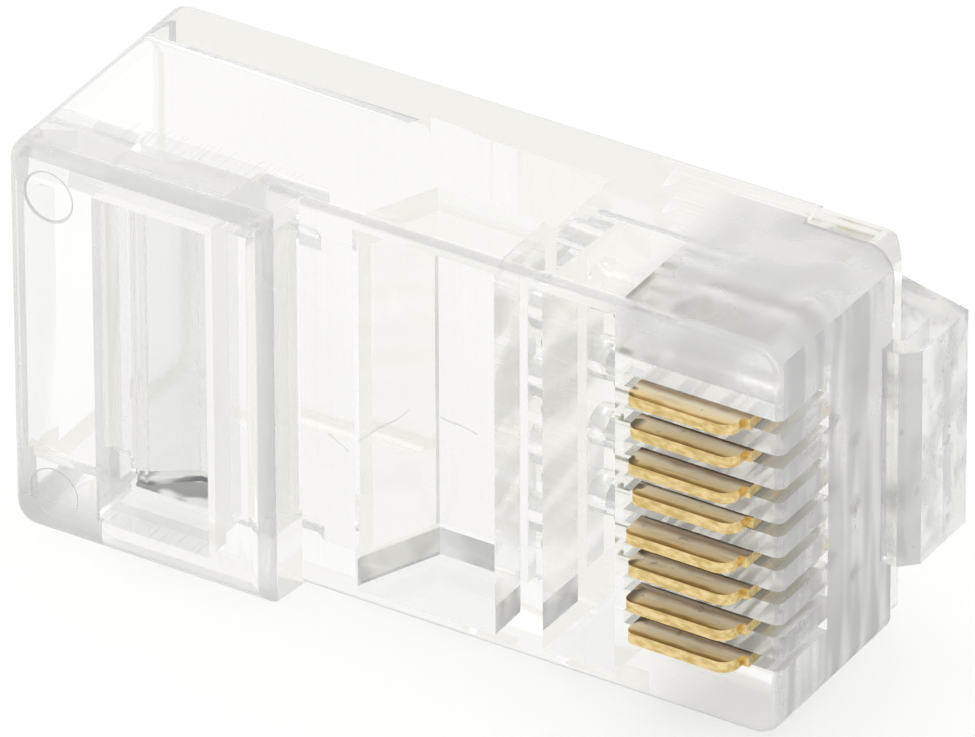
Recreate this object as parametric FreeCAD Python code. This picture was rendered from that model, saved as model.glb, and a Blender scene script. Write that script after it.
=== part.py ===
import FreeCAD, Part
import math
import os

# An 8-position modular plug, lying on one side wall as it comes to rest.
# X runs from the cable entry to the nose. H is the height above the latch side
# of the body, towards the contact face, and points along -Y. W is the distance
# from the side wall that the plug lies on, and points along +Z. Sizes in mm.

# Housing, outside
WIDTH = 11.68
BODY_LENGTH = 22.2
BODY_HEIGHT = 6.65
COLLAR_LENGTH = 7.8
COLLAR_HEIGHT = 8.05
COLLAR_STEP_RUN = 0.2
REAR_CORNER_RADIUS = 0.7
NOSE_CORNER_RADIUS = 0.8
COLLAR_RIM_RADIUS = 0.5
BODY_RIM_RADIUS = 0.25
LATCH_SIDE_RADIUS = 0.2

# Narrow ledge under the nose, on the latch side
LEDGE_LENGTH = 2.7
LEDGE_HEIGHT = 1.05
LEDGE_SETBACK = 0.2
LEDGE_SIDE_INSET = 0.15
LEDGE_CORNER_RADIUS = 0.7
LEDGE_FRONT_BEVEL = 0.35

# Cable entry and the throat that narrows to the wires
SIDE_WALL = 1.25
FLOOR = 0.9
ENTRY_LENGTH = 9.0
ENTRY_CEILING = 5.8
ENTRY_CORNER_RADIUS = 0.6
MOUTH_FLARE_LENGTH = 0.8
MOUTH_FLARE_RISE = 0.4
THROAT_FLOOR = 1.1
THROAT_END = 13.9
RECESS_WALL = 0.35

# Pocket in the collar, with the jacket anchor bar in it
POCKET_START = 2.65
POCKET_LENGTH = 3.4
POCKET_SILL = 6.4
POCKET_END_WALL = 0.95
ANCHOR_END_GAP = 0.3
ANCHOR_THICKNESS = 0.45
ANCHOR_TIP_RISE = 0.35
ANCHOR_TIP_OFFSET = 0.35
ANCHOR_TIP_WIDTH = 0.35
ANCHOR_TIP_RADIUS = 0.15
ANCHOR_SLOPE_RUN = 1.1
ANCHOR_SHELF_HEIGHT = 5.85
ANCHOR_WEB = 0.3

# Recess over the throat, and the cross slot behind the contacts
RECESS_START = 9.6
RECESS_LENGTH = 4.17
RECESS_LIP = 0.25
RECESS_FLOOR = 4.15
RECESS_RAMP_RUN = 1.0
RECESS_END_WALL = 0.4
CROSS_SLOT_START = 15.2
CROSS_SLOT_LENGTH = 2.14
CROSS_SLOT_FLOOR = 3.3
CROSS_SLOT_DRAFT = 0.15
CROSS_SLOT_END_WALL = 0.45

# Wires and contacts
POSITIONS = 8
PITCH = 1.016
WIRE_BORE = 1.15
UPPER_ROW = 3.2
LOWER_ROW = 2.0
BORE_END_WALL = 0.6
BLADE_THICKNESS = 0.32
BLADE_LENGTH = 3.1
BLADE_SHOULDER = 0.2
BLADE_SHOULDER_DEPTH = 0.6
BLADE_FRONT_RADIUS = 0.45
BLADE_REAR_RADIUS = 0.25
BLADE_WAIST = 0.25
BLADE_SETBACK = 0.8
BLADE_RAISED_HEIGHT = 7.45
BLADE_LIFTS = (0, 0.1, 0, 0.1, -0.2, 0, -0.1, 0)
CRIMPED_HEIGHT = 6.02
TINES = 3
TINE_DEPTH = 0.55
TINE_CLEARANCE = 0.3
BLADE_SIDE_CLEARANCE = 0.03
BLADE_END_CLEARANCE = 0.05
SLOT_BOTTOM_CLEARANCE = 0.08
SLOT_MOUTH_LENGTH = 0.45
SLOT_MOUTH_DEPTH = 0.75
NOSE_SLOT_FLOOR = 4.3

# Latch, on its thin hinge across the nose
LATCH_WIDTH = 6.4
LATCH_BOW_THICKNESS = 0.65
LATCH_BOW_GAP = 0.2
LATCH_BOW_CHAMFER = 0.45
LATCH_THICKNESS = 1.0
LATCH_BODY_GAP = 0.15
LATCH_ANGLE = 14.0
LATCH_LENGTH = 14.8
LOCK_LENGTH = 9.2
TAIL_WIDTH = 3.25
TAIL_END_RADIUS = 0.35
HINGE_HEIGHT = 1.3
HINGE_RADIUS = 0.3
HINGE_CLEARANCE = 0.03
HINGE_STAND_OFF = 0.05

# Round witness marks of the mould
MARK_DEPTH = 0.05
COLLAR_MARK_RADIUS = 0.72
COLLAR_MARK_INSET = 1.35
LATCH_MARK_RADIUS = 0.33

BEYOND = 1.0


def point(x, h, w):
    return FreeCAD.Vector(x, -h, w)


def prism(outline, w0, w1):
    """Solid with an outline in X and H, between two W planes."""
    corners = [point(x, h, w0) for x, h in outline]
    face = Part.Face(Part.makePolygon(corners + corners[:1]))
    return face.extrude(FreeCAD.Vector(0, 0, w1 - w0))


def block(x0, x1, h0, h1, w0, w1):
    return Part.makeBox(x1 - x0, h1 - h0, w1 - w0, point(x0, h1, w0))


def cross_rod(radius, x, h, w0, w1):
    return Part.makeCylinder(radius, w1 - w0, point(x, h, w0), FreeCAD.Vector(0, 0, 1))


def edges_where(solid, test):
    """Edges whose middle point, given as x, h and w, and direction pass a test."""
    found = []
    for edge in solid.Edges:
        middle = edge.valueAt((edge.FirstParameter + edge.LastParameter) / 2)
        ends = edge.valueAt(edge.LastParameter) - edge.valueAt(edge.FirstParameter)
        if test(middle.x, -middle.y, middle.z, ends):
            found.append(edge)
    return found


def near(a, b):
    return abs(a - b) < 1e-6


def along_h(ends):
    return near(ends.x, 0) and near(ends.z, 0)


def along_x(ends):
    return near(ends.y, 0) and near(ends.z, 0)


def position_w(index):
    return WIDTH / 2 + (index - (POSITIONS - 1) / 2) * PITCH


def in_upper_row(index):
    return index % 2 == 1


def wire_height(index):
    return UPPER_ROW if in_upper_row(index) else LOWER_ROW


def blade_depth(index):
    """Height of a blade from its tine tips, clear of the wire below, to its top edge."""
    return BLADE_RAISED_HEIGHT - (wire_height(index) + WIRE_BORE / 2 + TINE_CLEARANCE)


def blade_top(index):
    return BLADE_RAISED_HEIGHT + BLADE_LIFTS[index]


def slot_bottom(index):
    return CRIMPED_HEIGHT - blade_depth(index) - SLOT_BOTTOM_CLEARANCE


THROAT_CEILING = RECESS_FLOOR - RECESS_WALL
SLOT_FRONT = BODY_LENGTH - BLADE_SETBACK + BLADE_END_CLEARANCE
BLADE_REAR = BODY_LENGTH - BLADE_SETBACK - BLADE_SHOULDER - BLADE_LENGTH
SLOT_REAR = BLADE_REAR - BLADE_END_CLEARANCE
SLOT_WIDTH = BLADE_THICKNESS + 2 * BLADE_SIDE_CLEARANCE

HINGE_X = BODY_LENGTH + HINGE_STAND_OFF
BOW_INNER = BODY_LENGTH + HINGE_STAND_OFF + LATCH_BOW_GAP
BOW_FRONT = BOW_INNER + LATCH_BOW_THICKNESS
LATCH_W0 = (WIDTH - LATCH_WIDTH) / 2
LATCH_W1 = LATCH_W0 + LATCH_WIDTH
LATCH_SLOPE = math.tan(math.radians(LATCH_ANGLE))
LATCH_TAIL_X = BOW_FRONT - LATCH_LENGTH
LOCK_X = BOW_FRONT - LOCK_LENGTH


def latch_inner(x):
    """H of the lever's face towards the body."""
    return -LATCH_BODY_GAP - (BOW_FRONT - x) * LATCH_SLOPE


def latch_outer(x):
    return latch_inner(x) - LATCH_THICKNESS


def nose_ledge():
    x0 = BODY_LENGTH - LEDGE_LENGTH
    x1 = BODY_LENGTH - LEDGE_SETBACK
    outline = [
        (x0 - BEYOND, 0),
        (x1 - LEDGE_FRONT_BEVEL, 0),
        (x1, LEDGE_FRONT_BEVEL),
        (x1, LEDGE_HEIGHT + BEYOND),
        (x0 - BEYOND, LEDGE_HEIGHT + BEYOND),
    ]
    w0, w1 = LEDGE_SIDE_INSET, WIDTH - LEDGE_SIDE_INSET
    ledge = prism(outline, w0, w1)
    blank = block(x0 - BEYOND, x1, 0, LEDGE_HEIGHT + BEYOND, w0, w1)
    corners = edges_where(blank, lambda x, h, w, ends: along_h(ends) and near(x, x1))
    return ledge.common(blank.makeFillet(LEDGE_CORNER_RADIUS, corners))


def outer_body():
    """Body and collar in one, with rounded corners and rims."""
    ledge_x = BODY_LENGTH - LEDGE_LENGTH
    outline = [
        (0, 0),
        (ledge_x, 0),
        (ledge_x, LEDGE_HEIGHT),
        (BODY_LENGTH, LEDGE_HEIGHT),
        (BODY_LENGTH, BODY_HEIGHT),
        (COLLAR_LENGTH + COLLAR_STEP_RUN, BODY_HEIGHT),
        (COLLAR_LENGTH, COLLAR_HEIGHT),
        (0, COLLAR_HEIGHT),
    ]
    body = prism(outline, 0, WIDTH)
    rear = edges_where(body, lambda x, h, w, ends: along_h(ends) and near(x, 0))
    body = body.makeFillet(REAR_CORNER_RADIUS, rear)
    nose = edges_where(body, lambda x, h, w, ends: along_h(ends) and near(x, BODY_LENGTH))
    body = body.makeFillet(NOSE_CORNER_RADIUS, nose)
    collar_rim = edges_where(body, lambda x, h, w, ends: near(h, COLLAR_HEIGHT))
    body = body.makeFillet(COLLAR_RIM_RADIUS, collar_rim)
    body_rim = edges_where(
        body, lambda x, h, w, ends: near(h, BODY_HEIGHT) and x > COLLAR_LENGTH + COLLAR_STEP_RUN + BEYOND
    )
    body = body.makeFillet(BODY_RIM_RADIUS, body_rim)
    latch_side = edges_where(body, lambda x, h, w, ends: near(h, 0) and along_x(ends))
    body = body.makeFillet(LATCH_SIDE_RADIUS, latch_side)
    return body.fuse(nose_ledge()).removeSplitter()


def cable_entry():
    """Rear cavity, flared at its mouth, with the throat that leads to the wires."""
    w0, w1 = SIDE_WALL, WIDTH - SIDE_WALL
    hall = block(-BEYOND, ENTRY_LENGTH, FLOOR, ENTRY_CEILING, w0, w1)
    corners = edges_where(hall, lambda x, h, w, ends: along_x(ends))
    hall = hall.makeFillet(ENTRY_CORNER_RADIUS, corners)
    flare_slope = MOUTH_FLARE_RISE / MOUTH_FLARE_LENGTH
    flare = prism(
        [
            (-BEYOND, ENTRY_CEILING - ENTRY_CORNER_RADIUS),
            (MOUTH_FLARE_LENGTH, ENTRY_CEILING - ENTRY_CORNER_RADIUS),
            (MOUTH_FLARE_LENGTH, ENTRY_CEILING),
            (-BEYOND, ENTRY_CEILING + MOUTH_FLARE_RISE + BEYOND * flare_slope),
        ],
        w0 + ENTRY_CORNER_RADIUS,
        w1 - ENTRY_CORNER_RADIUS,
    )
    ramp_rise = BODY_HEIGHT - RECESS_LIP - RECESS_FLOOR
    ramp_slope = RECESS_RAMP_RUN / ramp_rise
    ramp_shift = RECESS_WALL * math.hypot(1, ramp_slope)
    ramp_top = RECESS_START - ramp_shift + (BODY_HEIGHT - RECESS_LIP - ENTRY_CEILING) * ramp_slope
    ramp_foot = ramp_top + (ENTRY_CEILING - THROAT_CEILING) * ramp_slope
    throat = prism(
        [
            (ENTRY_LENGTH - BEYOND, FLOOR + ENTRY_CORNER_RADIUS),
            (ENTRY_LENGTH - ENTRY_CORNER_RADIUS, FLOOR),
            (ENTRY_LENGTH, FLOOR),
            (ramp_foot, THROAT_FLOOR),
            (THROAT_END, THROAT_FLOOR),
            (THROAT_END, THROAT_CEILING),
            (ramp_foot, THROAT_CEILING),
            (ramp_top, ENTRY_CEILING),
            (ENTRY_LENGTH - ENTRY_CORNER_RADIUS, ENTRY_CEILING),
            (ENTRY_LENGTH - BEYOND, ENTRY_CEILING - ENTRY_CORNER_RADIUS),
        ],
        w0,
        w1,
    )
    return hall.fuse(flare).fuse(throat)


def pocket_cut():
    """Pocket in the collar, right through to the cable entry."""
    x0 = POCKET_START
    x1 = POCKET_START + POCKET_LENGTH
    pocket = block(x0, x1, POCKET_SILL, COLLAR_HEIGHT + BEYOND, POCKET_END_WALL, WIDTH - POCKET_END_WALL)
    way = block(x0, x1, ENTRY_CEILING - BEYOND, POCKET_SILL + BEYOND, SIDE_WALL, WIDTH - SIDE_WALL)
    return pocket.fuse(way)


def anchor_bar():
    """Bar across the pocket: thin web at its raised tip, thick shelf at its front."""
    x0 = POCKET_START
    x1 = POCKET_START + POCKET_LENGTH
    tip_x0 = x0 + ANCHOR_TIP_OFFSET
    tip_x1 = tip_x0 + ANCHOR_TIP_WIDTH
    tip_top = POCKET_SILL + ANCHOR_TIP_RISE
    shelf_x = tip_x1 + ANCHOR_SLOPE_RUN
    shelf_bottom = ANCHOR_SHELF_HEIGHT - ANCHOR_THICKNESS
    inset = SIDE_WALL + ANCHOR_END_GAP
    outline = [
        (tip_x0, tip_top),
        (tip_x1, tip_top),
        (shelf_x, ANCHOR_SHELF_HEIGHT),
        (x1 + BEYOND / 2, ANCHOR_SHELF_HEIGHT),
        (x1 + BEYOND / 2, shelf_bottom),
        (shelf_x - ANCHOR_TIP_WIDTH, shelf_bottom),
        (tip_x0, POCKET_SILL - ANCHOR_WEB),
    ]
    bar = prism(outline, inset, WIDTH - inset)
    tip = edges_where(bar, lambda x, h, w, ends: near(h, tip_top) and near(ends.x, 0))
    bar = bar.makeFillet(ANCHOR_TIP_RADIUS, tip)
    web_bottom = POCKET_SILL - ANCHOR_WEB
    web = block(x0 - BEYOND / 2, tip_x0 + ANCHOR_TIP_WIDTH / 2, web_bottom, POCKET_SILL, inset, WIDTH - inset)
    return bar.fuse(web)


def recess_cut():
    ramp_top = BODY_HEIGHT - RECESS_LIP
    outline = [
        (RECESS_START, BODY_HEIGHT + BEYOND),
        (RECESS_START, ramp_top),
        (RECESS_START + RECESS_RAMP_RUN, RECESS_FLOOR),
        (RECESS_START + RECESS_LENGTH, RECESS_FLOOR),
        (RECESS_START + RECESS_LENGTH, BODY_HEIGHT + BEYOND),
    ]
    return prism(outline, RECESS_END_WALL, WIDTH - RECESS_END_WALL)


def cross_slot_cut():
    outline = [
        (CROSS_SLOT_START, BODY_HEIGHT + BEYOND),
        (CROSS_SLOT_START, BODY_HEIGHT),
        (CROSS_SLOT_START + CROSS_SLOT_DRAFT, CROSS_SLOT_FLOOR),
        (CROSS_SLOT_START + CROSS_SLOT_LENGTH, CROSS_SLOT_FLOOR),
        (CROSS_SLOT_START + CROSS_SLOT_LENGTH, BODY_HEIGHT + BEYOND),
    ]
    return prism(outline, CROSS_SLOT_END_WALL, WIDTH - CROSS_SLOT_END_WALL)


def contact_slot_cut(index):
    """Blade slot, its rear mouth, its way out through the nose, and the wire bore."""
    w0 = position_w(index) - SLOT_WIDTH / 2
    w1 = w0 + SLOT_WIDTH
    top = BODY_HEIGHT + BEYOND
    slot = block(SLOT_REAR, SLOT_FRONT, slot_bottom(index), top, w0, w1)
    mouth = block(SLOT_REAR - SLOT_MOUTH_LENGTH, SLOT_FRONT, BODY_HEIGHT - SLOT_MOUTH_DEPTH, top, w0, w1)
    nose = block(SLOT_REAR, BODY_LENGTH + BEYOND, NOSE_SLOT_FLOOR, top, w0, w1)
    bore_start = THROAT_END - BEYOND
    bore_length = BODY_LENGTH - BORE_END_WALL - bore_start
    bore = Part.makeCylinder(
        WIRE_BORE / 2,
        bore_length,
        point(bore_start, wire_height(index), position_w(index)),
        FreeCAD.Vector(1, 0, 0),
    )
    return slot.fuse([mouth, nose, bore])


def collar_marks():
    side = COLLAR_MARK_INSET
    axis = FreeCAD.Vector(0, -1, 0)
    base = COLLAR_HEIGHT - MARK_DEPTH
    return [
        Part.makeCylinder(COLLAR_MARK_RADIUS, BEYOND, point(side, base, w), axis)
        for w in (side, WIDTH - side)
    ]


def housing():
    solid = outer_body()
    solid = solid.cut(cable_entry())
    solid = solid.cut(pocket_cut())
    solid = solid.fuse(anchor_bar())
    solid = solid.cut([recess_cut(), cross_slot_cut()])
    solid = solid.cut([contact_slot_cut(i) for i in range(POSITIONS)])
    groove_radius = HINGE_RADIUS + HINGE_CLEARANCE
    w0 = LATCH_W0 - HINGE_CLEARANCE
    groove = cross_rod(groove_radius, HINGE_X, HINGE_HEIGHT, w0, WIDTH - w0)
    return solid.cut([groove] + collar_marks())


def latch():
    """Bow in front of the nose, the wide lever with its lock faces, and the finger tail."""
    neck_top = HINGE_HEIGHT + HINGE_RADIUS
    neck_bottom = HINGE_HEIGHT - HINGE_RADIUS
    bow = [
        (HINGE_X, neck_top),
        (BOW_FRONT - LATCH_BOW_CHAMFER, neck_top),
        (BOW_FRONT, neck_top - LATCH_BOW_CHAMFER),
        (BOW_FRONT, latch_outer(BOW_FRONT)),
        (LOCK_X, latch_outer(LOCK_X)),
        (LOCK_X, latch_inner(LOCK_X)),
        (BOW_INNER, latch_inner(BOW_INNER)),
        (BOW_INNER, neck_bottom),
        (HINGE_X, neck_bottom),
    ]
    wide = prism(bow, LATCH_W0, LATCH_W1)
    roll = cross_rod(HINGE_RADIUS, HINGE_X, HINGE_HEIGHT, LATCH_W0, LATCH_W1)
    tail_outline = [
        (LOCK_X + BEYOND, latch_inner(LOCK_X + BEYOND)),
        (LATCH_TAIL_X, latch_inner(LATCH_TAIL_X)),
        (LATCH_TAIL_X, latch_outer(LATCH_TAIL_X)),
        (LOCK_X + BEYOND, latch_outer(LOCK_X + BEYOND)),
    ]
    tail_w0 = (WIDTH - TAIL_WIDTH) / 2
    tail = prism(tail_outline, tail_w0, tail_w0 + TAIL_WIDTH)
    tip = edges_where(tail, lambda x, h, w, ends: near(x, LATCH_TAIL_X) and not near(ends.z, 0))
    tail = tail.makeFillet(TAIL_END_RADIUS, tip)
    lever = wide.fuse([roll, tail]).removeSplitter()
    mark_h = (neck_top - LATCH_BOW_CHAMFER + latch_outer(BOW_FRONT)) / 2
    mark = Part.makeCylinder(
        LATCH_MARK_RADIUS,
        BEYOND,
        point(BOW_FRONT - MARK_DEPTH, mark_h, WIDTH / 2),
        FreeCAD.Vector(1, 0, 0),
    )
    return lever.cut(mark)


def rounded_corner(centre, radius, angle0, angle1, w):
    """Arc in X and H about a centre, between two angles in degrees from +X."""
    points = []
    for angle in (angle0, (angle0 + angle1) / 2, angle1):
        a = math.radians(angle)
        points.append(point(centre[0] + radius * math.cos(a), centre[1] + radius * math.sin(a), w))
    return Part.Arc(*points).toShape()


def contact(index):
    """Flat blade with a rounded upper edge, a front shoulder and piercing tines."""
    w = position_w(index) - BLADE_THICKNESS / 2
    top = blade_top(index)
    x0 = BLADE_REAR
    x1 = x0 + BLADE_LENGTH
    x2 = x1 + BLADE_SHOULDER
    tip = top - blade_depth(index)
    root = tip + TINE_DEPTH
    shoulder = top - BLADE_SHOULDER_DEPTH
    waist_x = x2 - BLADE_WAIST
    path = [
        (x0, top - BLADE_REAR_RADIUS),
        (x0 + BLADE_REAR_RADIUS, top),
        (x1 - BLADE_FRONT_RADIUS, top),
        (x1, top - BLADE_FRONT_RADIUS),
        (x1, shoulder),
        (x2, shoulder),
        (x2, root + BLADE_WAIST),
        (waist_x, root),
    ]
    tine_pitch = (waist_x - x0) / TINES
    for tine in range(TINES):
        front = waist_x - tine * tine_pitch
        path.append((front - tine_pitch / 2, tip))
        path.append((front - tine_pitch, root))
    corners = [point(x, h, w) for x, h in path]
    rear_centre = (x0 + BLADE_REAR_RADIUS, top - BLADE_REAR_RADIUS)
    front_centre = (x1 - BLADE_FRONT_RADIUS, top - BLADE_FRONT_RADIUS)
    edges = [
        rounded_corner(rear_centre, BLADE_REAR_RADIUS, 180, 90, w),
        Part.LineSegment(corners[1], corners[2]).toShape(),
        rounded_corner(front_centre, BLADE_FRONT_RADIUS, 90, 0, w),
    ]
    for a, b in zip(corners[3:], corners[4:] + corners[:1]):
        edges.append(Part.LineSegment(a, b).toShape())
    profile = Part.Face(Part.Wire(edges))
    return profile.extrude(FreeCAD.Vector(0, 0, BLADE_THICKNESS))


def main():
    os.makedirs("parts", exist_ok=True)
    latch_reach = -latch_outer(LATCH_TAIL_X)
    origin = point(BOW_FRONT / 2, (COLLAR_HEIGHT - latch_reach) / 2, 0)
    pieces = {"housing": housing(), "latch": latch()}
    for i in range(POSITIONS):
        pieces["contact_%d" % (i + 1)] = contact(i)
    for name, shape in pieces.items():
        shape.translate(origin * -1)
        shape.exportStep("parts/%s.step" % name)
        print(name, len(shape.Solids), shape.isValid(), round(shape.Volume, 3))
    hinge = point(HINGE_X, HINGE_HEIGHT, 0) - origin
    print("hinge axis at", round(hinge.x, 4), round(hinge.y, 4))
    print("blade travels", [round(blade_top(i) - CRIMPED_HEIGHT, 4) for i in range(POSITIONS)])


main()
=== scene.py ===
# %% [markdown]
# A clear modular plug: one glassy moulding, a latch that flexes, and eight gold-plated blades.
# The solids come ready-made at their real size, so this lesson is about light and finish.
# Everything is in metres, and the plug lies on its narrow side wall, as it does on a table.

# %% Load the plug
import math

import bpy
from mathutils import Matrix, Vector


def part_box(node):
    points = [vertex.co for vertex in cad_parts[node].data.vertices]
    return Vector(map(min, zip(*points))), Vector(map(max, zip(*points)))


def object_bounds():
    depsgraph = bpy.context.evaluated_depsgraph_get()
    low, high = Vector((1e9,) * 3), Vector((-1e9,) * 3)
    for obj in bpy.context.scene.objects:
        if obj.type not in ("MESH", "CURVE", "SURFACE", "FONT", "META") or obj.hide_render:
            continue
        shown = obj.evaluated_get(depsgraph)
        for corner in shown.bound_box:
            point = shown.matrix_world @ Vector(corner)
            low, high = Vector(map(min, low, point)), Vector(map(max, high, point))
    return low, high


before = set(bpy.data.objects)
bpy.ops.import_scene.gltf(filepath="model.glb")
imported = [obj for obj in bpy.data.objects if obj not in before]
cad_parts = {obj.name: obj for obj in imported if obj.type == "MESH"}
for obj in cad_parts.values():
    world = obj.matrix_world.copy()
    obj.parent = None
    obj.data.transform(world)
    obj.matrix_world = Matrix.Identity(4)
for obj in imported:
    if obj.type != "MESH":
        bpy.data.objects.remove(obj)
SOLID_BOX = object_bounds()
MM = 0.001
print("plug, in mm:", [round((b - a) / MM, 2) for a, b in zip(*SOLID_BOX)])

# %% [markdown]
# The picture is taken with a long lens from a little above, on the contact side and towards the
# nose. A camera is a place and three directions. It looks along its own -Z, so its axes are built
# from an azimuth, an elevation and a small roll, and then set as the columns of its matrix.

# %% The camera
AZIMUTH = math.radians(31.449)
ELEVATION = math.radians(32.443)
ROLL = math.radians(-0.234)
DISTANCE = 441.984 * MM
AIM = Vector((-0.55, -2.395, 5.84)) * MM
AIM_OFFSET = Vector((0.82, 0.233)) * MM
LENS = 639.5
SENSOR_WIDTH = 36.0
NEAREST = 10.0 * MM

flat_right = Vector((math.cos(AZIMUTH), math.sin(AZIMUTH), 0))
level = math.cos(ELEVATION)
back = Vector((math.sin(AZIMUTH) * level, -math.cos(AZIMUTH) * level, math.sin(ELEVATION)))
flat_up = back.cross(flat_right)
right = math.cos(ROLL) * flat_right + math.sin(ROLL) * flat_up
up = math.cos(ROLL) * flat_up - math.sin(ROLL) * flat_right
eye = AIM + right * AIM_OFFSET.x + up * AIM_OFFSET.y + back * DISTANCE

lens = bpy.data.cameras.new("camera")
lens.lens = LENS
lens.sensor_width = SENSOR_WIDTH
lens.clip_start = NEAREST
camera = bpy.data.objects.new("camera", lens)
camera.matrix_world = Matrix.Translation(eye) @ Matrix((right, up, back)).transposed().to_4x4()
bpy.context.collection.objects.link(camera)
bpy.context.scene.camera = camera
bpy.context.scene.view_settings.view_transform = "Standard"
print("camera stands", round(DISTANCE / MM), "mm away")

# %% [markdown]
# Shaders are sums: masks are added, scaled and mixed. Wrapping a socket in a small class lets those
# sums be written as plain Python, and each sign adds its Math node.

# %% Shader sums as Python
class Value:
    """A number that changes over a surface."""

    def __init__(self, maker, socket):
        self.maker = maker
        self.socket = socket

    def sum(self, operation, *terms):
        return self.maker.node("ShaderNodeMath", {"operation": operation}, dict(enumerate(terms)))

    def __add__(self, other):
        return self.sum("ADD", self, other)

    __radd__ = __add__

    def __mul__(self, other):
        return self.sum("MULTIPLY", self, other)

    __rmul__ = __mul__

    def __sub__(self, other):
        return self.sum("SUBTRACT", self, other)

    def __rsub__(self, other):
        return self.sum("SUBTRACT", other, self)

    def at_least(self, other):
        return self.sum("MAXIMUM", self, other)

    def over(self, edge):
        """1 where the value is above the edge, and 0 elsewhere."""
        return self.sum("GREATER_THAN", self, edge)

    def size(self):
        """The value without its sign."""
        return self.sum("ABSOLUTE", self)

    def within(self, low, high):
        """1 where the value lies in this range, and 0 elsewhere."""
        middle, reach = (low + high) / 2, (high - low) / 2
        return self.sum("COMPARE", self, middle, reach)


print("sums ready")

# %% [markdown]
# Every other node comes from one method, which takes the node's type, its settings and then what
# goes into its sockets. The short methods after it are the nodes that come again and again.

# %% One maker for all nodes
class Maker:
    """Adds nodes to one material or world."""

    def __init__(self, owner):
        owner.use_nodes = True
        self.tree = owner.node_tree
        self.tree.nodes.clear()

    def node(self, kind, settings=None, inputs=None, out=0):
        node = self.tree.nodes.new(kind)
        for name, value in (settings or {}).items():
            if name == "stops":
                self.set_stops(node.color_ramp, value)
            else:
                setattr(node, name, value)
        for name, value in (inputs or {}).items():
            if isinstance(value, Value):
                self.tree.links.new(value.socket, node.inputs[name])
            else:
                node.inputs[name].default_value = value
        return Value(self, node.outputs[out]) if len(node.outputs) else node

    @staticmethod
    def set_stops(ramp, stops):
        while len(ramp.elements) < len(stops):
            ramp.elements.new(0.5)
        for element, (place, colour) in zip(ramp.elements, stops):
            element.position = place
            element.color = colour

    def place(self):
        return self.node("ShaderNodeTexCoord", out="Object")

    def stretched(self, scale):
        """The place with each axis scaled by its own number, which turns a noise into streaks."""
        return self.node("ShaderNodeMapping", {}, {"Vector": self.place(), "Scale": scale})

    def noise(self, where, scale, detail):
        inputs = {"Vector": where, "Scale": scale, "Detail": detail}
        return self.node("ShaderNodeTexNoise", {}, inputs)

    def between(self, value, low, high, to_low=0.0, to_high=1.0):
        """A soft step: to_low below the range, to_high above it."""
        inputs = {0: value, 1: low, 2: high, 3: to_low, 4: to_high}
        return self.node("ShaderNodeMapRange", {"interpolation_type": "SMOOTHSTEP"}, inputs)

    def mix(self, factor, a, b):
        return self.node("ShaderNodeMix", {"data_type": "RGBA"}, {0: factor, 6: a, 7: b}, out=2)

    def blend(self, factor, a, b):
        return self.node("ShaderNodeMixShader", {}, {0: factor, 1: a, 2: b})

    def light_path(self, out):
        return self.node("ShaderNodeLightPath", out=out)

    def bump(self, height, strength, distance):
        inputs = {"Height": height, "Strength": strength, "Distance": distance}
        return self.node("ShaderNodeBump", {}, inputs)

    def finish(self, shader, kind="ShaderNodeOutputMaterial"):
        self.node(kind, {}, {0: shader})


def new_material(name):
    material = bpy.data.materials.new(name)
    return material, Maker(material)


def part_of(m, vector, axis):
    return m.node("ShaderNodeSeparateXYZ", {}, {0: vector}, out=axis)


print("maker ready")

# %% [markdown]
# In a bright room a polished block of clear plastic nearly disappears. What shows it are its dull
# parts, and each of them is a mask. Masks are easiest in the plug's own millimetres: x counts from
# its rear end, h from its latch side, and w from the table. A face is told by which way it looks.

# %% A map of the plug
REAR_X = -11.55
LATCH_SIDE_Y = 1.605


class PlugMap:
    """Where a point lies on the plug, in mm, and how far its face looks each way, from 0 to 1."""

    def __init__(self, m):
        place = m.place()
        x, y, z = [part_of(m, place, axis) for axis in range(3)]
        self.x = x * (1 / MM) - REAR_X
        self.h = LATCH_SIDE_Y - y * (1 / MM)
        self.w = z * (1 / MM)
        normal = m.node("ShaderNodeNewGeometry", out="Normal")
        size = m.node("ShaderNodeVectorMath", {"operation": "ABSOLUTE"}, {0: normal})
        self.lengthwise, self.outward, self.upward = [part_of(m, size, axis) for axis in range(3)]

    def inside(self, x, h, w):
        """1 inside a box given by three ranges in mm, and 0 outside."""
        return self.x.within(*x) * self.h.within(*h) * self.w.within(*w)


print("rear end at x =", REAR_X, "mm, latch side at y =", LATCH_SIDE_Y, "mm")

# %% [markdown]
# Rounded rims catch the light because a mould is never polished right into its corners. A rim needs
# no place of its own: it is wherever a surface faces none of the three main ways.

# %% Dull rims
RIM = (0.93, 0.985)


def dull_rims(m, plug, most):
    straight = plug.lengthwise.at_least(plug.outward).at_least(plug.upward)
    return m.between(straight, *RIM, most, 0.0)


print("rims: where no part of the normal is above", RIM[1])

# %% [markdown]
# Three kinds of marks are finer than any clouding. Ejector pins leave thin rings on the collar, the
# tool that cut the mould leaves fine lines, and handling leaves scratches, slightly wavy like a
# hair. They could be cut into the mesh, but they have almost no depth, so masks draw them as well.

# %% Rings, tool marks and scratches
MIDDLE_W = 5.84
RING_RADIUS = 0.72
RING_INSET = 1.35
RING_LINE = (0.02, 0.05, 1.0, 0.0)
COLLAR_TOP = 7.9
TOOL_LINES = (9000.0, 500.0, 2500.0)
TOOL_EDGE = (0.56, 0.64)
COLLAR_UPPER_SIDE = ((2.5, 7.7), (5.6, 8.1), (11.5, 11.8))
POCKET_FOOT = ((2.0, 7.7), (4.5, 8.1), (0.8, 1.8))
HAIR_WIDTH = 0.02
HAIR_WAVES = 1200.0
HAIR_SWING = 0.15


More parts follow.
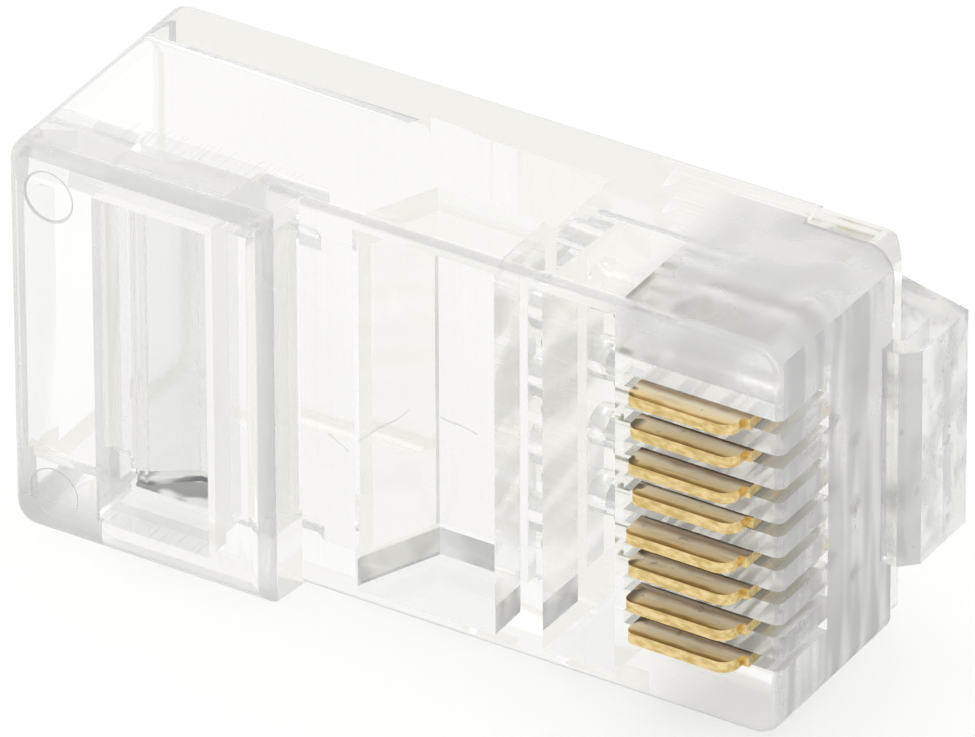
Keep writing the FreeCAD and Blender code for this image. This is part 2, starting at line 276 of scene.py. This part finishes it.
def ejector_rings(m, plug):
    from_centre = (plug.w - MIDDLE_W).size() - (MIDDLE_W - RING_INSET)
    flat = m.node("ShaderNodeCombineXYZ", {}, {0: plug.x - RING_INSET, 1: from_centre, 2: 0.0})
    radius = m.node("ShaderNodeVectorMath", {"operation": "LENGTH"}, {0: flat}, out="Value")
    return m.between((radius - RING_RADIUS).size(), *RING_LINE) * plug.h.over(COLLAR_TOP)


def tool_marks(m, plug):
    lines = m.noise(m.stretched(TOOL_LINES), 1.0, 0.0)
    places = plug.inside(*COLLAR_UPPER_SIDE).at_least(plug.inside(*POCKET_FOOT))
    return m.between(lines, *TOOL_EDGE) * places


def hairline(m, across, up, start, end):
    """A scratch from one point to another of a flat face."""
    run, rise = end[0] - start[0], end[1] - start[1]
    length = math.hypot(run, rise)
    right, above = across - start[0], up - start[1]
    along = right * (run / length) + above * (rise / length)
    aside = above * (run / length) - right * (rise / length)
    wave = m.noise(m.place(), HAIR_WAVES, 0.0) * (2 * HAIR_SWING) - HAIR_SWING
    return along.within(0.0, length) * (aside + wave).within(-HAIR_WIDTH, HAIR_WIDTH)


print("ring", 2 * RING_RADIUS, "mm across, scratch", 2 * HAIR_WIDTH, "mm wide")

# %% [markdown]
# Frost is how dull the plastic is, from 0 to 1. The fins between the blades and the nose are
# frosted most, because the mould is rough there. Each place is a box in mm with its own strength,
# and the strongest frost at a point counts. Where it isn't even, four numbers say how it follows a
# noise or a distance: from and to, and the frost at each. The rims stay clearer at the mouth, the
# ramp and the pocket. Two boxes use the grey of frost to paint light: the end walls of the slots
# get streaks of painted reflection, and the collar corner by the lower ring gets painted shade that
# fades away from the table.

# %% Frost on the housing
STRAIGHT = 0.9
CLEAREST = 0.03
RIM_FROST = 0.42
MOUTH = ((-0.5, 1.2), (1.0, 7.0), (1.3, 10.4))
MOUTH_CLEARS = 0.6
RAMP = ((9.3, 14.2), (4.0, 6.6), (0.5, 11.2))
POCKET = ((2.5, 6.2), (5.2, 7.4), (0.8, 10.9))
POCKET_FROST = 0.2
FINS = ((17.3, 22.4), (4.1, 6.8), (1.6, 10.1))
FIN_STREAKS = (3500.0, 250.0, 900.0)
FIN_FROST = (0.38, 0.62, 0.3, 0.62)
SLOT_ENDS = ((13.6, 14.4), (3.0, 6.6), (0.3, 11.4))
SLOT_END_STREAKS = (200.0, 200.0, 700.0)
SLOT_END_REFLECTION = (0.4, 0.6, 0.06, 0.34)
NOSE_FRONT = ((21.8, 22.4), (1.1, 6.8), (-0.1, 11.8))
NOSE_STREAKS = (0.0, 1500.0, 160.0)
NOSE_FROST = (0.38, 0.62, 0.45, 0.92)
NOSE_BLOCK = ((16.4, 22.4), (0.8, 6.8), (10.1, 11.8))
BLOCK_CLOUDS = 600.0
BLOCK_FROST = (0.34, 0.66, 0.4, 0.66)
BLOCK_FADE = (16.5, 18.5)
NOSE_FOOT = ((17.0, 22.4), (3.0, 6.8), (-0.1, 1.7))
NOSE_FOOT_FROST = (17.0, 20.0, 0.05, 0.24)
REAR_FACE = ((-0.1, 0.1), (5.5, 8.1), (-0.1, 11.8))
REAR_FROST = 0.45
COLLAR_CORNER = ((0.2, 2.8), (7.9, 8.1), (0.2, 2.6))
CORNER_SHADE = (0.4, 2.5, 0.7, 0.0)
UPPER_BAND = ((-0.1, 7.9), (6.5, 8.1), (10.9, 11.8))
UPPER_BAND_FROST = 0.25
LOWER_BAND = ((-0.1, 7.9), (6.5, 8.1), (-0.1, 0.1))
LOWER_BAND_FROST = 0.35
RING_FROST = 0.6
TOOL_FROST = 0.14
UNEVEN_CLOUDS = 300.0
UNEVEN = (0.3, 0.7, 0.85, 1.12)


def housing_frost(m, plug):
    pocket = plug.inside(*POCKET)
    clear_rims = (plug.inside(*MOUTH) * MOUTH_CLEARS).at_least(plug.inside(*RAMP)).at_least(pocket)
    sides = plug.upward.over(STRAIGHT)
    ends = plug.lengthwise.over(STRAIGHT)
    milled = m.between(m.noise(m.stretched(FIN_STREAKS), 1.0, 1.0), *FIN_FROST)
    bands = m.between(m.noise(m.stretched(NOSE_STREAKS), 1.0, 1.0), *NOSE_FROST)
    clouds = m.between(m.noise(m.place(), BLOCK_CLOUDS, 0.0), *BLOCK_FROST)
    # painted reflection: grey streaks on the end walls of the slots
    painted_reflection = m.between(m.noise(m.stretched(SLOT_END_STREAKS), 1.0, 1.0), *SLOT_END_REFLECTION)
    uneven = m.between(m.noise(m.place(), UNEVEN_CLOUDS, 0.0), *UNEVEN)
    frost = dull_rims(m, plug, RIM_FROST) * (1.0 - clear_rims)
    for place in [
        sides * plug.inside(*FINS) * milled,
        ends * plug.inside(*SLOT_ENDS) * painted_reflection,
        ends * plug.inside(*NOSE_FRONT) * bands,
        ends * plug.inside(*REAR_FACE) * REAR_FROST,
        plug.inside(*NOSE_BLOCK) * m.between(plug.x, *BLOCK_FADE) * clouds,
        plug.inside(*NOSE_FOOT) * m.between(plug.x, *NOSE_FOOT_FROST),
        # painted shade at the collar corner by the lower ring, fading away from the table
        plug.inside(*COLLAR_CORNER) * m.between(plug.w, *CORNER_SHADE),
        sides * plug.inside(*UPPER_BAND) * UPPER_BAND_FROST,
        sides * plug.inside(*LOWER_BAND) * LOWER_BAND_FROST,
        pocket * POCKET_FROST,
        ejector_rings(m, plug) * RING_FROST,
        tool_marks(m, plug) * TOOL_FROST,
    ]:
        frost = frost.at_least(place)
    return frost.at_least(CLEAREST) * uneven


print("clearest plastic keeps a frost of", CLEAREST)

# %% [markdown]
# Three things in the housing look dark instead of milky, and each gets a grey share. The gap under
# the anchor bar, where the light is caught, and the thick foot of the recess get painted shade, in
# blotches and clouds. The hairline scratches are real marks.

# %% Painted shade and scratches in the housing
GAP = ((2.8, 5.3), (5.1, 6.9), (1.15, 1.7))
GAP_BLOTCHES = 1200.0
GAP_SHADE = (0.42, 0.6, 0.1, 0.65)
FOOT = ((9.2, 14.0), (4.0, 6.55), (0.42, 1.25))
FOOT_CLOUDS = 900.0
FOOT_SHADE = (0.36, 0.64, 0.24, 0.46)
HAIR_SHADE = 0.22
FACE_HAIR = ((8.82, 4.92), (9.45, 4.55))
WALL_HAIR = ((6.5, 4.75), (5.0, 5.2))
FLOOR_HAIR = ((10.64, 4.61), (11.74, 4.42))
FACE_H, FLOOR_H = (6.5, 6.8), (4.0, 4.3)
WALL_LEAN = 0.4444
WALL_FACE = (12.32, 12.56)


def housing_shade(m, plug):
    # painted shade: blotches under the anchor bar and clouds in the foot of the recess
    blotches = m.between(m.noise(m.place(), GAP_BLOTCHES, 1.0), *GAP_SHADE)
    gap = plug.inside(*GAP) * blotches
    cloudy = m.between(m.noise(m.place(), FOOT_CLOUDS, 1.0), *FOOT_SHADE)
    foot = plug.inside(*FOOT) * cloudy
    face_hair = hairline(m, plug.x, plug.w, *FACE_HAIR) * plug.h.within(*FACE_H)
    on_wall = (plug.x + plug.h * WALL_LEAN).within(*WALL_FACE)
    wall_hair = hairline(m, plug.h, plug.w, *WALL_HAIR) * on_wall
    floor_hair = hairline(m, plug.x, plug.w, *FLOOR_HAIR) * plug.h.within(*FLOOR_H)
    hairs = wall_hair.at_least(face_hair).at_least(floor_hair) * HAIR_SHADE
    return gap.at_least(foot).at_least(hairs)


print("hairline scratches: 3")

# %% [markdown]
# The latch is thin and has been bent and handled, so it is cloudier all over, with a few dark
# specks. Its cloudiness brings the grey paint of frost, which is partly painted shade, most of all
# on its rims, so its edges look darker. Nothing on it has a place of its own, so two noises and the
# rims are enough.

# %% Frost and specks on the latch
LATCH_RIM_FROST = 0.6
LATCH_CLOUDS = 700.0
LATCH_FROST = (0.42, 0.62, 0.13, 0.47)
LATCH_SPECKS = 3000.0
SPECK_SHADE = (0.74, 0.78, 0.0, 0.15)


def latch_frost(m, plug):
    cloudy = m.between(m.noise(m.place(), LATCH_CLOUDS, 2.0), *LATCH_FROST)
    # frosted rims: their grey is partly painted shade along the latch's edges
    return cloudy.at_least(dull_rims(m, plug, LATCH_RIM_FROST))


def latch_shade(m, plug):
    return m.between(m.noise(m.place(), LATCH_SPECKS, 0.0), *SPECK_SHADE)


print("latch rims:", LATCH_RIM_FROST)

# %% [markdown]
# Polycarbonate bends light strongly: its index of refraction is 1.585. Light that has met two walls
# carries little detail, so from there a plain, perfectly clear glass takes over, and a path that is
# still inside after many bends ends in the brightness of the room. Shadows and soft light pass
# straight through, because a clear plug on a table throws only a pale shadow. Frost mixes in some
# grey matt paint, because roughness alone would stay as bright as the room: it is the milkiness of
# frost, darkened into painted shade. A darker grey is mixed in for painted shade and dark marks.

# %% Clear polycarbonate
CLEAR_INDEX = 1.585
CLEAR = (0.993, 0.99, 0.98, 1)
CLEAR_DEEP = (0.99, 0.988, 0.982, 1)
MILKY_SHADE_GREY = (0.50, 0.50, 0.51, 1)
DARK = (0.10, 0.10, 0.11, 1)
SHADOW_TINT = (0.93, 0.935, 0.92, 1)
ROOM_GLOW = (0.93, 0.93, 0.90, 1)
MILK_AND_SHADE_SHARE = 0.85
POLISHED, ROUGHEST = 0.05, 0.36
LAST_DETAIL = 1.5
LAST_BEND = 7.5
LAST_MIRROR = 3.5
RIPPLES = 420.0
RIPPLE_DEPTH = 0.03 * MM
RIPPLE_STRENGTH = 0.4
DULLEST = 0.7


def clear_plastic(name, frosted, shaded):
    material, m = new_material(name)
    plug = PlugMap(m)
    frost = frosted(m, plug)
    ripple = m.noise(m.place(), RIPPLES, 0.0)
    body = m.node(
        "ShaderNodeBsdfPrincipled",
        {},
        {
            "Base Color": CLEAR,
            "Roughness": m.between(frost, 0.0, DULLEST, POLISHED, ROUGHEST),
            "IOR": CLEAR_INDEX,
            "Transmission Weight": 1.0,
            "Normal": m.bump(ripple, RIPPLE_STRENGTH, RIPPLE_DEPTH),
        },
    )
    # grey matt paint that frost mixes in: the milkiness of frost, darkened into painted shade
    milk_and_shade = m.node("ShaderNodeBsdfDiffuse", {}, {"Color": MILKY_SHADE_GREY})
    shade = m.node("ShaderNodeBsdfDiffuse", {}, {"Color": DARK})
    detailed = m.blend(shaded(m, plug), m.blend(frost * MILK_AND_SHADE_SHARE, body, milk_and_shade), shade)
    deep = {"Color": CLEAR_DEEP, "Roughness": 0.0, "IOR": CLEAR_INDEX}
    plain = m.node("ShaderNodeBsdfGlass", {}, deep)
    bends = m.light_path("Ray Depth")
    glassy = m.blend(bends.over(LAST_DETAIL), detailed, plain)
    ghost = m.node("ShaderNodeBsdfTransparent", {}, {"Color": SHADOW_TINT})
    soft = m.light_path("Is Shadow Ray").at_least(m.light_path("Is Diffuse Ray"))
    spent = bends.over(LAST_BEND).at_least(m.light_path("Glossy Depth").over(LAST_MIRROR))
    far_glow = m.node("ShaderNodeEmission", {}, {"Color": ROOM_GLOW})
    m.finish(m.blend(spent, m.blend(soft, glassy, ghost), far_glow))
    material.cycles.emission_sampling = "NONE"
    return material


CLEAR_FINISHES = {
    "housing": clear_plastic("clear_housing", housing_frost, housing_shade),
    "latch": clear_plastic("clear_latch", latch_frost, latch_shade),
}
for name, finish in CLEAR_FINISHES.items():
    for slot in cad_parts[name].material_slots:
        slot.material = finish
print("clear pieces:", list(CLEAR_FINISHES))

# %% [markdown]
# No moulded edge is sharp. The solids keep theirs, so two modifiers round them: Weld joins the
# corners of neighbouring faces, and Bevel then rounds every edge that turns by over 35 degrees.

# %% Round the edges
EDGE_RADIUS = {"housing": 0.05 * MM, "latch": 0.2 * MM}
SAME_PLACE = 0.001 * MM
SHARPEST = math.radians(35)


def soften_edges(piece, radius):
    joined = piece.modifiers.new("joined", "WELD")
    joined.merge_threshold = SAME_PLACE
    rounded = piece.modifiers.new("rounded", "BEVEL")
    rounded.width = radius
    rounded.segments = 2
    rounded.limit_method = "ANGLE"
    rounded.angle_limit = SHARPEST
    rounded.harden_normals = True
    rounded.use_clamp_overlap = True


for name, radius in EDGE_RADIUS.items():
    soften_edges(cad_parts[name], radius)
print("edge radius, in mm:", {name: radius / MM for name, radius in EDGE_RADIUS.items()})

# %% [markdown]
# The blades are stamped from copper alloy and plated with gold. Their edges, the sheared sides of
# the strip, are bright and a little grainy. Their faces are greyer and stained, and some are darker
# in patches at the rear end. The face colour follows the depth below the blade's contact edge, and
# it holds painted light: a bright line of painted highlight below the edge and a dark band of
# painted shade near the fin.

# %% Gold-plated blades
# face colour by depth in mm: dark brown at the edge, a painted highlight line, a pale middle, and a
# band of painted shade by the fin
FACE_SHEEN_SHADE_STOPS = [
    (0.00, (0.38, 0.22, 0.06, 1)),
    (0.09, (0.48, 0.30, 0.10, 1)),
    (0.17, (0.85, 0.64, 0.33, 1)),
    (0.32, (0.82, 0.69, 0.46, 1)),
    (0.50, (0.76, 0.68, 0.53, 1)),
    (0.68, (0.36, 0.26, 0.17, 1)),
    (1.00, (0.48, 0.43, 0.36, 1)),
]
STAIN = (0.45, 0.30, 0.14, 1)
DARK_PATCH = (0.07, 0.05, 0.03, 1)
STRIP_DEEP = (0.62, 0.44, 0.16, 1)
STRIP_BRIGHT = (0.86, 0.68, 0.36, 1)
GRAIN = (3000.0, 7000.0, 7000.0)
GRAIN_PATCHES = (0.3, 0.7)
STREAKS = (900.0, 6000.0, 900.0)
CLOUDS, SPOTS = 1500.0, 3000.0
CLOUD_SWING = 0.2
STAINED = (0.52, 0.75, 0.0, 0.35)
SPOTTED = (0.68, 0.76, 0.0, 0.4)
REAR_DARK_REACH = (0.1 * MM, 0.4 * MM, 1.0, 0.0)
REAR_DARK_PATCHES = (0.46, 0.54)
DARK_PATCH_SHARE = 0.85
STRIP_ROUGHNESS, FACE_ROUGHNESS = 0.28, 0.42
GRAIN_DEPTH = 0.01 * MM
GRAIN_STRENGTH = 0.4
FACE_SMOOTHS = 0.85


def gold_plate(name, rear_end, contact_edge):
    """Gold for one blade, whose rear end is at this X and contact edge at this Y."""
    material, m = new_material(name)
    grain = m.noise(m.stretched(GRAIN), 1.0, 3.0)
    cloud = m.noise(m.place(), CLOUDS, 2.0)
    streaks = m.noise(m.stretched(STREAKS), 1.0, 2.0)
    normal = m.node("ShaderNodeNewGeometry", out="Normal")
    face = part_of(m, normal, 2).size().over(STRAIGHT)
    x, y = [part_of(m, m.place(), axis) for axis in range(2)]
    depth = (y - contact_edge) * (1 / MM) + (cloud - 0.5) * CLOUD_SWING
    face_sheen_shade = m.node("ShaderNodeValToRGB", {"stops": FACE_SHEEN_SHADE_STOPS}, {0: depth})
    stained = m.mix(m.between(streaks, *STAINED), face_sheen_shade, STAIN)
    # darker patches on the face near its rear end
    rear_dark = m.between(x - rear_end, *REAR_DARK_REACH) * m.between(cloud, *REAR_DARK_PATCHES) * face
    spots = m.between(m.noise(m.place(), SPOTS, 2.0), *SPOTTED)
    marked = m.mix(rear_dark.at_least(spots) * DARK_PATCH_SHARE, stained, DARK_PATCH)
    strip_colour = m.mix(m.between(grain, *GRAIN_PATCHES), STRIP_DEEP, STRIP_BRIGHT)
    shader = m.node(
        "ShaderNodeBsdfPrincipled",
        {},
        {
            "Base Color": m.mix(face, strip_colour, marked),
            "Metallic": 1.0,
            "Roughness": m.between(face, 0.0, 1.0, STRIP_ROUGHNESS, FACE_ROUGHNESS),
            "Normal": m.bump(grain * (1.0 - face * FACE_SMOOTHS), GRAIN_STRENGTH, GRAIN_DEPTH),
        },
    )
    m.finish(shader)
    return material


blades = [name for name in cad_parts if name.startswith("contact_")]
for name in blades:
    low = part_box(name)[0]
    gold = gold_plate("gold_" + name, low.x, low.y)
    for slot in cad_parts[name].material_slots:
        slot.material = gold
print("gold blades:", len(blades))

# %% [markdown]
# The plug lies on a white table. The picture shows the table white, so a part of it glows, for the
# camera and for the rays that pass through or mirror in the plastic. Close to the plug those rays
# see a slightly weaker glow. The rest of the table is matt paper that keeps the shadow.

# %% The white table
FLOOR_SIZE = 2.0
TABLE_GAP = 0.02 * MM
PAPER = ((0.93, 0.93, 0.93, 1), (0.95, 0.95, 0.95, 1))
PAPER_CLOUDS = 60.0
PAPER_PATCHES = (0.3, 0.7)
PAPER_ROUGHNESS = 0.8
TABLE_GLOW = (1, 1, 0.99, 1)
PAINTED_SHADOW_GLOW = (0.98, 0.98, 0.97, 1)
PAINTED_SHADOW_REACH = (-2.0 * MM, 3.0 * MM, 1.0, 0.0)
SEEN_SHARE = 0.6
THROUGH_SHARE = 0.8
LAST_MATT = 3.5
PLUG_HALF_LENGTH = (SOLID_BOX[1][0] - SOLID_BOX[0][0]) / 2
PLUG_HALF_DEPTH = (SOLID_BOX[1][1] - SOLID_BOX[0][1]) / 2


def table_finish():
    material, m = new_material("white_table")
    paper = m.mix(m.between(m.noise(m.place(), PAPER_CLOUDS, 3.0), *PAPER_PATCHES), *PAPER)
    dull = {"Base Color": paper, "Roughness": PAPER_ROUGHNESS}
    matt = m.node("ShaderNodeBsdfPrincipled", {}, dull)
    x, y = [part_of(m, m.place(), axis) for axis in range(2)]
    from_plug = (x.size() - PLUG_HALF_LENGTH).at_least(y.size() - PLUG_HALF_DEPTH)
    seen = m.light_path("Is Camera Ray")
    # painted shadow: rays that pass through or mirror in the plastic see the glow weaker close to
    # the plug
    painted_shadow = m.between(from_plug, *PAINTED_SHADOW_REACH) * (1.0 - seen)
    bright = m.mix(painted_shadow, TABLE_GLOW, PAINTED_SHADOW_GLOW)
    glow = m.node("ShaderNodeEmission", {}, {"Color": bright, "Strength": 1.0})
    through = m.light_path("Is Transmission Ray").at_least(m.light_path("Is Glossy Ray"))
    deep = m.light_path("Ray Depth").over(LAST_MATT)
    share = (seen * SEEN_SHARE).at_least(through * THROUGH_SHARE).at_least(deep)
    m.finish(m.blend(share, matt, glow))
    material.cycles.emission_sampling = "NONE"
    return material


def flat_sheet(name, size):
    half = size / 2
    corners = [(-half, -half, 0), (half, -half, 0), (half, half, 0), (-half, half, 0)]
    mesh = bpy.data.meshes.new(name)
    mesh.from_pydata(corners, [], [(0, 1, 2, 3)])
    sheet = bpy.data.objects.new(name, mesh)
    bpy.context.collection.objects.link(sheet)
    return sheet


table = flat_sheet("table", FLOOR_SIZE)
table.location = (SOLID_BOX[0] + SOLID_BOX[1]) / 2
table.location.z = SOLID_BOX[0][2] - TABLE_GAP
table.data.materials.append(table_finish())
print("table laid", round(TABLE_GAP / MM, 3), "mm under the plug")

# %% [markdown]
# Clear plastic shows nothing of its own: all its lines are pictures of what surrounds it. A grey
# room would make it grey, so the room is white all round, and only a little darker low down and on
# the side that the plug's front mirrors. The camera itself sees plain white.

# %% The room
ROOM_LEVEL = (0.0, 0.5, 0.9, 1.0)
DIM_SIDE = (0.44, -0.72, 0.54)
DIMMED = (0.6, 0.95, 0.0, 0.15)
WARMTH = 0.985
WHITE = (1, 1, 1, 1)


def room():
    world = bpy.data.worlds.new("room")
    m = Maker(world)
    bpy.context.scene.world = world
    way = m.node("ShaderNodeTexCoord", out="Generated")
    height = part_of(m, way, 2)
    product = {0: way, 1: DIM_SIDE}
    facing = m.node("ShaderNodeVectorMath", {"operation": "DOT_PRODUCT"}, product, out="Value")
    level = m.between(height, *ROOM_LEVEL) - m.between(facing, *DIMMED)
    grey = m.node("ShaderNodeCombineColor", {}, {0: level, 1: level, 2: level * WARMTH})
    dim = m.node("ShaderNodeBackground", {}, {"Color": grey, "Strength": 1.0})
    white = m.node("ShaderNodeBackground", {}, {"Color": WHITE, "Strength": 1.0})
    m.finish(m.blend(m.light_path("Is Camera Ray"), dim, white), "ShaderNodeOutputWorld")
    return world


print("surroundings:", room().name)

# %% [markdown]
# Two lamps give the blades their sheen and the plug its pale shadow. Small lamps would show as hard
# bright spots in the plastic, so these are discs about 30 cm across, and both point at the plug.

# %% Soft lamps
LAMPS = {
    "top_lamp": {"where": (-0.05, 0.08, 0.35), "size": 0.35, "power": 0.3},
    "left_lamp": {"where": (-0.35, -0.1, 0.18), "size": 0.3, "power": 0.15},
}


def soft_lamp(name, where, size, power):
    """A round lamp that points at the plug."""
    light = bpy.data.lights.new(name, "AREA")
    light.shape = "DISK"
    light.size = size
    light.energy = power
    lamp = bpy.data.objects.new(name, light)
    lamp.location = where
    lamp.rotation_euler = (-Vector(where)).to_track_quat("-Z", "Y").to_euler()
    bpy.context.collection.objects.link(lamp)


for name, settings in LAMPS.items():
    soft_lamp(name, **settings)
print("lamps:", list(LAMPS))
